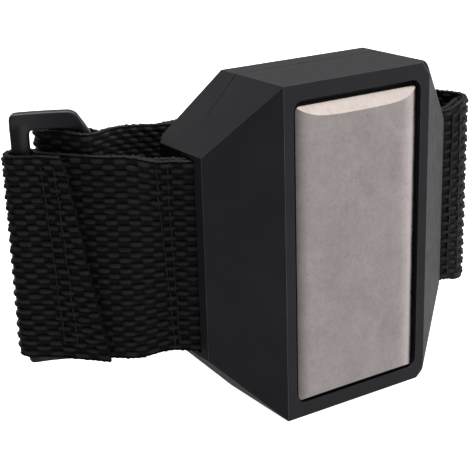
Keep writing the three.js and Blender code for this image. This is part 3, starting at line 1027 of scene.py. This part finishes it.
@dataclass
class NearStrap:
    """The webbing from the housing's left pin to the buckle ring, folded round the ring's bar."""

    route: Route
    weave: Weave
    middle_z: float
    sewn_to: float = 12.5
    end_lean: float = -3.4
    spare: float = 3.0
    tuft_count: int = 132
    tuft_length: float = 1.25
    tuft_radius: float = 0.085
    tuft_tip: float = 0.35
    tuft_root: float = 0.35

    def build(self, nylon: bpy.types.Material) -> None:
        """Models the strap and its frayed end.

        Args:
            nylon: The webbing's material.
        """
        run = self.route.near_side()
        line = self.route.whole(-1, run, self.sewn_to).longer(self.spare)
        lift = self.route.near_lift(line.points[:, 0], line.points[:, 1])
        strap = weave_piece("near_webbing", line, lift, self.route.gather(line.points), self.weave, 0.0,
                            line.length - abs(self.end_lean), self.middle_z, Cut(self.end_lean, 0.14))
        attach(dress(strap, Slot.WEBBING, nylon), Body.HOUSING.value)
        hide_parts("left_strap")
        tufts = self.fray(line)
        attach(dress(tufts, Slot.WEBBING, nylon), Body.HOUSING.value)

    def fray(self, line: PlanLine) -> bpy.types.Object:
        """Models the loose yarn ends along the strap's raw end.

        Args:
            line: The strap's middle line.

        Returns:
            The piece.
        """
        rng = np.random.RandomState(SEED + 2)
        clear_selection()
        bpy.ops.mesh.primitive_cone_add(vertices=5, radius1=self.tuft_radius * MM,
                                        radius2=self.tuft_radius * self.tuft_tip * MM,
                                        depth=self.tuft_length * MM,
                                        location=(0, 0, self.tuft_length / 2 * MM))
        shape = settle(named("frayed_end"))
        places = []
        for k in range(self.tuft_count):
            share = (k + rng.uniform(0.1, 0.9)) / self.tuft_count * 2 - 1
            high = share * self.weave.flat
            along = line.length - abs(self.end_lean) + self.end_lean * share - self.tuft_root
            spot = line.at(np.array([along - 0.5, along]))
            ahead = Vector((*(spot[1] - spot[0]), 0)).normalized()
            out = Vector((-ahead.y, ahead.x, 0))
            rise = float(self.route.near_lift(spot[1:, 0], spot[1:, 1])[0])
            base = Vector((*spot[1], self.middle_z + high + rise)) + out * rng.uniform(-0.45, 0.6)
            aim = ahead + out * rng.uniform(-0.35, 0.75) + Vector((0, 0, rng.uniform(-0.75, 0.75)))
            turn = aim.to_track_quat("Z", "Y").to_matrix().to_4x4()
            longer = Matrix.Diagonal((1, 1, rng.uniform(0.55, 1.15), 1))
            places.append(Matrix.Translation(base * MM) @ turn @ longer)
        tufts = join(copies(shape, places), "frayed_end")
        shade(tufts, 60.0)
        return tufts


@dataclass
class FarStrap:
    """The webbing from the housing's right pin round the wrist, through the ring and back as the tail."""

    route: Route
    weave: Weave
    middle_z: float
    sewn_to: float = 11.0
    share_of_first: float = 0.5

    def build(self, nylon: bpy.types.Material) -> None:
        """Models the strap in two lengths, the second of which bends at the fold.

        Args:
            nylon: The webbing's material.
        """
        side = self.route.whole(1, self.route.far_side(), self.sewn_to)
        tail = self.route.tail()
        line = PlanLine(np.vstack([side.points, tail.points]))
        lift = np.concatenate([
            self.route.far_lift(side.points[:, 0], side.points[:, 1]),
            self.route.tail_lift(tail.points[:, 0], tail.points[:, 1]),
        ])
        step = self.weave.pick / self.weave.per_pick
        split = round(line.length * self.share_of_first / step) * step
        width = self.route.gather(line.points)
        first = weave_piece("far_webbing", line, lift, width, self.weave, 0.0, split, self.middle_z, Cut())
        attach(dress(first, Slot.WEBBING, nylon), Body.HOUSING.value)
        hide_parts("right_strap")
        second = weave_piece("tail_webbing", line, lift, width, self.weave, split, line.length, self.middle_z,
                             Cut(0, 0.06))
        dress(second, Slot.WEBBING, nylon)
        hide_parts("right_strap", "strap_tail")
        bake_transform(second)


@dataclass
class ClosingTapes:
    """The hook tape under the tail and the loop tape that it presses on."""

    route: Route
    middle_z: float
    height: float = 34.0
    step: float = 0.55
    edge: float = 0.12
    uneven: float = 0.03

    def build(self, pile: bpy.types.Material) -> None:
        """Models both tapes.

        Args:
            pile: The tapes' material.
        """
        back = self.route.back_stretch()
        thick = self.route.tape_thick
        near = self.route.thick / 2 + self.route.gap + thick / 2
        loop = back.stretch(1, 34).beside(-near)
        hook = back.stretch(5, 26).beside(-(near + self.route.gap + thick))
        for name, node, line, lift, body in (
            ("loop_pile_tape", "loop_tape", loop, self.route.far_lift, Body.HOUSING),
            ("hook_pile_tape", "hook_tape", hook, self.route.tail_lift, Body.TAIL),
        ):
            piece = self.tape(name, line, lift)
            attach(dress(piece, Slot.TAPE, pile), body.value)
            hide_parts(node)

    def tape(self, name: str, line: PlanLine, lift: Lift) -> bpy.types.Object:
        """Models one tape from a block, cut to short lengths, laid along its line and rounded.

        Args:
            name: The piece's name.
            line: Its middle line.
            lift: How high it rides at a plan point.

        Returns:
            The piece.
        """
        clear_selection()
        steps = round(line.length / self.step)
        bpy.ops.mesh.primitive_grid_add(x_subdivisions=steps, y_subdivisions=24, size=2)
        piece = named(name)
        flat = np.array([v.co for v in piece.data.vertices])
        along = (flat[:, 0] + 1) / 2 * line.length
        spot = line.at(along)
        normal = line.normals()
        across = np.column_stack([np.interp(along, line.travelled, normal[:, k]) for k in (0, 1)])
        tread = np.random.RandomState(SEED + 5).uniform(-self.uneven, self.uneven, len(flat))
        plan = spot + across * tread[:, None]
        z = self.middle_z + flat[:, 1] * (self.height / 2 - self.edge) + lift(spot[:, 0], spot[:, 1])
        piece.data.vertices.foreach_set("co", (np.column_stack([plan, z]) * MM).ravel())
        piece.data.update()
        apply_modifier(piece, "SOLIDIFY", thickness=(self.route.tape_thick - 0.08) * MM, offset=0.0)
        break_arrises(piece, self.edge, 2, 60)
        shade(piece, 40.0)
        return piece


@dataclass
class Stitching:
    """Rows of lockstitch across the webbing, at the pins and at the ring."""

    route: Route
    middle_z: float
    row_height: float = 35.0
    stitch: float = 2.6
    radius: float = 0.2
    off: float = 0.62

    def build(self, thread: bpy.types.Material) -> None:
        """Models every row.

        Args:
            thread: The thread's material.
        """
        near, far = self.route.near_side(), self.route.far_side()
        end = len(near.points) * PlanLine.STEP
        for name, line, distance, lean, way in (
            ("stitch_row_left_1", near, 4.8, 0.5, 1), ("stitch_row_left_2", near, 6.3, 1.0, 1),
            ("stitch_row_ring_1", near, end - 9.1, -0.95, -1),
            ("stitch_row_ring_2", near, end - 6.6, -0.95, -1),
            ("stitch_row_right_1", far, 5.6, 0.2, -1), ("stitch_row_right_2", far, 8.2, -0.2, -1),
        ):
            row = self.row("sewn" + name[6:], line, distance + 0.9, lean, way)
            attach(dress(row, Slot.THREAD, thread), Body.HOUSING.value)
            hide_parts(name)

    def row(self, name: str, line: PlanLine, distance: float, lean: float, way: int) -> bpy.types.Object:
        """Models one row: a plump stitch, copied down the row with its ends sunk in the weave.

        Args:
            name: The piece's name.
            line: The line of the webbing that is sewn.
            distance: How far along it the row's middle is.
            lean: How much further along its top is.
            way: The side of the line that the row shows on.

        Returns:
            The piece.
        """
        rng = np.random.RandomState(SEED + len(name))
        clear_selection()
        bpy.ops.mesh.primitive_uv_sphere_add(segments=8, ring_count=8, radius=self.radius * MM)
        shape = named(name)
        shape.scale = (1, 1, self.stitch / 2 / self.radius * 1.04)
        settle(shape)
        count = int(self.row_height / self.stitch)
        slope = math.atan2(2 * lean, self.row_height)
        places = []
        for k in range(count):
            share = 2 * k / (count - 1) - 1
            z = self.middle_z + share * (count - 1) / 2 * self.stitch
            middle = distance + lean * share
            spot = line.at(np.array([middle - 0.5, middle, middle + 0.5]))
            ahead = Vector((*(spot[2] - spot[0]), 0)).normalized()
            out = Vector((-ahead.y, ahead.x, 0)) * way
            at = (Vector((*spot[1], z)) + out * (self.off + rng.uniform(-0.03, 0.03))
                  + ahead * rng.uniform(-0.12, 0.12))
            tilt = Matrix.Rotation(rng.uniform(-0.06, 0.06) + way * slope, 4, out)
            places.append(Matrix.Translation(at * MM) @ tilt)
        row = join(copies(shape, places), name)
        shade(row, 60.0)
        return row


# ---- hard parts --------------------------------------------------------------------------------------


@dataclass
class Housing:
    """The front shell and the back cover, moulded in black ABS with their arrises just broken."""

    frame: dict[str, Any]
    arris: float = 0.18
    fillet: float = 1.7
    steps: int = 3
    sharp: float = 22.0
    seam_close: float = 0.24
    side_from: float = 20.0

    def build(self, plastic: bpy.types.Material, highlight_arris: bpy.types.Material) -> None:
        """Models both mouldings.

        Args:
            plastic: Their material.
            highlight_arris: The material of their arrises, lighter than the body: a painted highlight along
                each edge.
        """
        for node, name in (("front_shell", "front_moulding"), ("back_cover", "back_moulding")):
            piece = copy_of(self.frame, node, name)
            dress(piece, Slot.HOUSING, plastic, highlight_arris)
            if node == "back_cover":
                self.close_seam(piece)
            self.round_corners(piece)
            # The arrises take the second material, whose lighter colour is a painted highlight along each
            # edge.
            break_arrises(piece, self.arris, self.steps, self.sharp, material=1, miter_outer="MITER_ARC")
            shade(piece, 50.0)
            apply_modifier(piece, "WEIGHTED_NORMAL", keep_sharp=True)
            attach(piece, Body.HOUSING.value)
            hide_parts(node)

    def close_seam(self, cover: bpy.types.Object) -> None:
        """Brings the cover's rim up to the shell at the sides, so that its seam only opens along the ends.

        Args:
            cover: The cover.
        """
        sides = [vertex for vertex in cover.data.vertices if abs(vertex.co.x) > self.side_from * MM]
        rim = min(vertex.co.y for vertex in sides)
        for vertex in sides:
            if abs(vertex.co.y - rim) < 0.02 * MM:
                vertex.co.y -= self.seam_close * MM

    def round_corners(self, piece: bpy.types.Object) -> None:
        """Rounds the shell's two long slanted corners on the right, and the cover's upright corners.

        Args:
            piece: Either of them. An edge is known by its direction and its place.
        """
        mesh = piece.data
        weights = mesh.attributes.new("bevel_weight_edge", "FLOAT", "EDGE")
        back = max(vertex.co.y for vertex in mesh.vertices) - 0.5 * MM
        for edge in mesh.edges:
            a, b = (mesh.vertices[k].co for k in edge.vertices)
            wide, deep, tall = (abs(size) / MM for size in b - a)
            slant = wide > 8 and deep > 6 and tall > 8 and min(a.x, b.x) > 10 * MM
            upright = tall > 30 and min(abs(a.x), abs(b.x)) > 26 * MM and min(a.y, b.y) > back
            weights.data[edge.index].value = 1.0 if slant or upright else 0.0
        apply_modifier(piece, "BEVEL", width=self.fillet * MM, segments=6, limit_method="WEIGHT")


@dataclass
class FacePlate:
    """The crowned steel plate that the pins cling to, with its arris dressed."""

    frame: dict[str, Any]
    arris: float = 0.16

    def build(self, steel: bpy.types.Material, bright: bpy.types.Material) -> None:
        """Models the plate.

        Args:
            steel: The face's material.
            bright: The arris's material.
        """
        piece = copy_of(self.frame, "steel_face_plate", "steel_plate")
        dress(piece, Slot.PLATE, steel, bright)
        break_arrises(piece, self.arris, 3, 26, material=1)
        shade(piece, 24.0)
        apply_modifier(piece, "WEIGHTED_NORMAL", keep_sharp=True)
        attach(piece, Body.HOUSING.value)
        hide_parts("steel_face_plate")


@dataclass
class BuckleRing:
    """The moulded ring that the far strap passes through, its bars and rails flowing into each other."""

    frame: dict[str, Any]
    cell: float = 0.26
    smoothing: int = 14

    def build(self, plastic: bpy.types.Material) -> None:
        """Models the ring.

        Args:
            plastic: Its material.
        """
        piece = copy_of(self.frame, "buckle_ring", "buckle_ring_moulding")
        apply_modifier(piece, "REMESH", mode="VOXEL", voxel_size=self.cell * MM)
        apply_modifier(piece, "SMOOTH", factor=0.5, iterations=self.smoothing)
        shade(piece, 180.0)
        dress(piece, Slot.BUCKLE, plastic)
        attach(piece, Body.RING.value)
        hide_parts("buckle_ring")


@dataclass
class CoverScrews:
    """Four pan head screws that hold the back cover."""

    frame: dict[str, Any]
    shank: float = 1.1
    head: float = 2.4
    head_thick: float = 1.3
    head_round: float = 0.5
    length: float = 13.5
    sunk: float = 0.3
    seat_y: float = 12.1
    cross_width: float = 0.75
    cross_span: float = 2.7
    cross_depth: float = 0.8

    def build(self, plated: bpy.types.Material) -> None:
        """Models one screw and copies it to each place.

        Args:
            plated: The screws' material.
        """
        for k in range(1, 5):
            node = f"cover_screw_{k}"
            low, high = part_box(node)
            middle = (low + high) / 2
            screw = self.screw(f"pan_head_screw_{k}")
            screw.data.transform(Matrix.Translation((middle.x, self.seat_y * MM, middle.z))
                                 @ Matrix.Rotation(0.4 * k, 4, "Y"))
            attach(dress(screw, Slot.PLAIN_STEEL, plated), Body.HOUSING.value)
            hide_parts(node)

    def screw(self, name: str) -> bpy.types.Object:
        """Models a screw along Y with the underside of its head at the origin.

        Args:
            name: The piece's name.

        Returns:
            The screw.
        """
        clear_selection()
        bpy.ops.mesh.primitive_cylinder_add(vertices=32, radius=self.head * MM, depth=self.head_thick * MM,
                                            location=(0, 0, self.head_thick / 2 * MM))
        head = settle(named(name))
        break_arrises(head, self.head_round, 4, 50)
        bpy.ops.object.select_all(action="DESELECT")
        bpy.ops.mesh.primitive_cylinder_add(vertices=24, radius=self.shank * MM, depth=self.length * MM,
                                            location=(0, 0, (self.sunk - self.length / 2) * MM))
        shank = settle(named("screw_shank"))
        cutters = [shank]
        apply_modifier(head, "BOOLEAN", operation="UNION", object=shank, solver="EXACT")
        for turn in (0.0, math.pi / 2):
            clear_selection()
            bpy.ops.mesh.primitive_cube_add(size=1, rotation=(0, 0, turn),
                                            location=(0, 0, (self.head_thick + 0.01) * MM))
            slot = bpy.context.object
            slot.scale = (self.cross_span * MM, self.cross_width * MM, 2 * self.cross_depth * MM)
            settle(slot)
            apply_modifier(head, "BOOLEAN", operation="DIFFERENCE", object=slot, solver="EXACT")
            cutters.append(slot)
        for cutter in cutters:
            bpy.data.objects.remove(cutter)
        head.data.transform(Matrix.Rotation(-math.pi / 2, 4, "X"))
        shade(head, 30.0)
        return head


@dataclass
class Core:
    """What the housing holds: two magnets, their keeper, a foam pad and the two strap pins."""

    frame: dict[str, Any]
    arris: float = 0.25
    pad_share: float = 0.985
    pad_give: float = 0.35

    def build(self, ferrite: bpy.types.Material, plated: bpy.types.Material,
              foam: bpy.types.Material) -> None:
        """Models each of them with broken arrises.

        Args:
            ferrite: The magnets' material.
            plated: The keeper's and pins' material.
            foam: The pad's material.
        """
        for node, slot, material in (
            ("magnet_upper", Slot.FERRITE, ferrite), ("magnet_lower", Slot.FERRITE, ferrite),
            ("magnet_keeper", Slot.PLAIN_STEEL, plated), ("strap_pin_left", Slot.PLAIN_STEEL, plated),
            ("strap_pin_right", Slot.PLAIN_STEEL, plated),
        ):
            piece = copy_of(self.frame, node, node + "_dressed")
            break_arrises(piece, self.arris, 2, 40)
            shade(piece, 35.0)
            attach(dress(piece, slot, material), Body.HOUSING.value)
            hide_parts(node)
        self.pad(foam)

    def pad(self, foam: bpy.types.Material) -> None:
        """Models the foam pad, with edges that give a little between its corners.

        Args:
            foam: The pad's material.
        """
        low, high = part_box("foam_pad")
        clear_selection()
        bpy.ops.mesh.primitive_cube_add(size=1, location=(low + high) / 2)
        piece = named("foam_cushion")
        piece.scale = (high - low) * self.pad_share
        settle(piece)
        in_edit(piece, lambda: bpy.ops.mesh.subdivide(number_cuts=11))
        middle, half = (low + high) / 2, (high - low) / 2
        give = self.pad_give * MM
        for vertex in piece.data.vertices:
            x, z = ((vertex.co[k] - middle[k]) / half[k] for k in (0, 2))
            vertex.co.x -= math.copysign(give * (1 - z * z), x) * abs(x) ** 4
            vertex.co.z -= math.copysign(give * (1 - x * x), z) * abs(z) ** 4
        break_arrises(piece, self.arris, 2, 50)
        shade(piece, 40.0)
        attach(dress(piece, Slot.FOAM, foam), Body.HOUSING.value)
        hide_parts("foam_pad")


# ---- studio ------------------------------------------------------------------------------------------


@dataclass
class Studio:
    """Background paper, soft lights and the camera."""

    paper_radius: float = 3000.0
    camera_at: tuple[float, float, float] = (-133.3, -173.1, 105.3)
    azimuth: float = math.radians(-33.094)
    elevation: float = math.radians(18.9575)
    roll: float = math.radians(-1.6798)
    lens: float = 94.26
    sensor: float = 36.0
    aim: tuple[float, float, float] = (0, 5, 31)
    softboxes: tuple[tuple[str, tuple[float, float, float], float, float], ...] = (
        ("overhead_softbox", (60, 120, 620), 520, 3.2),
        ("right_softbox", (520, 120, 260), 380, 0.2),
        ("back_softbox", (0, 640, 50), 300, 1.4),
    )
    wall: tuple[tuple[float, str], ...] = ((0.2, "#494949"), (0.5, "#cfcfcf"), (0.76, "#c9c9c9"),
                                           (0.87, "#bfbfbf"), (0.96, "#ffffff"))
    wall_behind: float = 0.55
    wall_below: float = 0.15
    front_box: tuple[float, float, float] = (0.53, -0.5, 0.69)
    front_power: float = 0.88

    def build(self, paper: bpy.types.Material) -> None:
        """Sets up the paper, the lights and the camera.

        Args:
            paper: The paper's material.
        """
        self.camera()
        self.lights()
        self.surround()
        clear_selection()
        bpy.ops.mesh.primitive_circle_add(vertices=64, radius=self.paper_radius * MM, fill_type="NGON",
                                          location=(0, 0, -0.02 * MM))
        sheet = settle(named("background_paper"))
        sheet.data.materials.append(paper)
        sheet.visible_glossy = False

    def camera(self) -> None:
        """Places the camera by its azimuth, elevation and roll."""
        ca, sa = math.cos(self.azimuth), math.sin(self.azimuth)
        ce, se = math.cos(self.elevation), math.sin(self.elevation)
        back = Vector((sa * ce, -ca * ce, se))
        right = (-back).cross(Vector((0, 0, 1))).normalized()
        up = right.cross(-back)
        cr, sr = math.cos(self.roll), math.sin(self.roll)
        rolled_right, rolled_up = cr * right + sr * up, cr * up - sr * right
        data = bpy.data.cameras.new("camera")
        data.lens = self.lens
        data.sensor_width = self.sensor
        data.clip_start = 0.01
        camera = bpy.data.objects.new("camera", data)
        bpy.context.collection.objects.link(camera)
        turn = Matrix((rolled_right, rolled_up, back)).transposed().to_4x4()
        camera.matrix_world = Matrix.Translation(Vector(self.camera_at) * MM) @ turn
        bpy.context.scene.camera = camera

    def lights(self) -> None:
        """Hangs the soft lights, each by its place, size and power, and aims them at the object."""
        for name, at, size, power in self.softboxes:
            data = bpy.data.lights.new(name, "AREA")
            data.shape = "SQUARE"
            data.size = size * MM
            data.energy = power
            light = bpy.data.objects.new(name, data)
            bpy.context.collection.objects.link(light)
            place = Vector(at) * MM
            aim = (Vector(self.aim) * MM - place).to_track_quat("-Z", "Y").to_matrix().to_4x4()
            light.matrix_world = Matrix.Translation(place) @ aim

    def surround(self) -> None:
        """Sets up the pale surround: brightest on the right, dimmer behind and below, with a box in front."""
        world = bpy.data.worlds.new("studio_surround")
        bpy.context.scene.world = world
        world.use_nodes = True
        tree = world.node_tree
        shader = tree.nodes["Background"]
        way = add_node(tree, "TexCoord").outputs["Generated"]
        across = add_node(tree, "SeparateXYZ", Vector=way)
        side = add_node(tree, "MapRange", Value=across.outputs["X"], From_Min=-1.0, From_Max=1.0)
        wall = ramp(tree, side.outputs["Result"], self.wall)
        behind = add_node(tree, "MapRange", Value=across.outputs["Y"], From_Min=0.3, From_Max=0.6,
                          To_Min=1.0, To_Max=self.wall_behind)
        below = add_node(tree, "MapRange", Value=across.outputs["Z"], From_Min=-0.9, From_Max=-0.6,
                         To_Min=self.wall_below, To_Max=1.0)
        facing = add_node(tree, "VectorMath", {"operation": "DOT_PRODUCT"}, in_0=way,
                          in_1=Vector(self.front_box).normalized())
        box = add_node(tree, "MapRange", {"interpolation_type": "SMOOTHSTEP"}, Value=facing.outputs["Value"],
                       From_Min=0.9, From_Max=0.965, To_Min=0.0, To_Max=self.front_power)
        dimmed = add_node(tree, "Math", {"operation": "MULTIPLY"}, in_0=behind.outputs["Result"],
                          in_1=below.outputs["Result"])
        level = add_node(tree, "Math", {"operation": "MULTIPLY_ADD"}, in_0=wall, in_1=dimmed.outputs[0],
                         in_2=box.outputs["Result"])
        tree.links.new(level.outputs[0], shader.inputs["Strength"])
        tree.links.new(ramp(tree, box.outputs["Result"], [(0.0, "#fbf9f8"), (1.0, "#fffaf0")]),
                       shader.inputs["Color"])
        bpy.context.scene.view_settings.view_transform = "Standard"


def main() -> None:
    """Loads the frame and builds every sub-assembly in order."""
    logging.basicConfig(level=logging.INFO, format="%(message)s")
    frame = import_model()
    low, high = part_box("front_shell")
    middle_z = (low.z + high.z) / 2 / MM

    Studio().build(PaperSweep().build())
    abs_black = MouldedPlastic("moulded_abs", "#17161a", "#1d1b21", 0.46, 0.06, 0.32, 0.02, 0.3).build()
    # The arris colour is lighter than the body's: a painted highlight along the housing's edges.
    abs_highlight_arris = MouldedPlastic("abs_arris_painted_highlight", "#49484c", "#646267", 0.3, 0.05, 0.6, 0.008, 0.6).build()
    acetal = MouldedPlastic("moulded_acetal", "#151519", "#1b1b20", 0.34, 0.05, 0.5, 0.008, 0.5).build()
    steel = SatinSteel("satin_stainless", "#c6bebd", "#d9d1d0", 0.3).build()
    bright = SatinSteel("dressed_steel_arris", "#c9c2c0", "#d6d0cd", 0.26).build()
    plated = PlatedSteel().build()
    # The grit materials' dark colours are painted shade in their hollows.
    ferrite = GritBlock("ground_ferrite", "#2c2c2e", "#3a3a3c", 0.62, 0.35, 0.02).build()
    foam = GritBlock("open_cell_foam", "#1b1b1d", "#38383b", 0.9, 0.55, 0.2).build()
    pile = GritBlock("knitted_pile", "#0c0c0e", "#232327", 0.85, 0.42, 0.16).build()
    # The webbing's dark colour is painted shade in the hollows; its light colour is painted sheen with wear
    # on the crests.
    nylon = WovenNylon("woven_nylon", "#030304", "#1c1b20").build()
    thread = SpunThread().build()

    route = Route()
    weave = Weave()
    Housing(frame).build(abs_black, abs_highlight_arris)
    FacePlate(frame).build(steel, bright)
    BuckleRing(frame).build(acetal)
    NearStrap(route, weave, middle_z).build(nylon)
    FarStrap(route, weave, middle_z).build(nylon)
    ClosingTapes(route, middle_z).build(pile)
    Stitching(route, middle_z).build(thread)
    CoverScrews(frame).build(plated)
    Core(frame).build(ferrite, plated, foam)


if __name__ == "__main__":
    main()
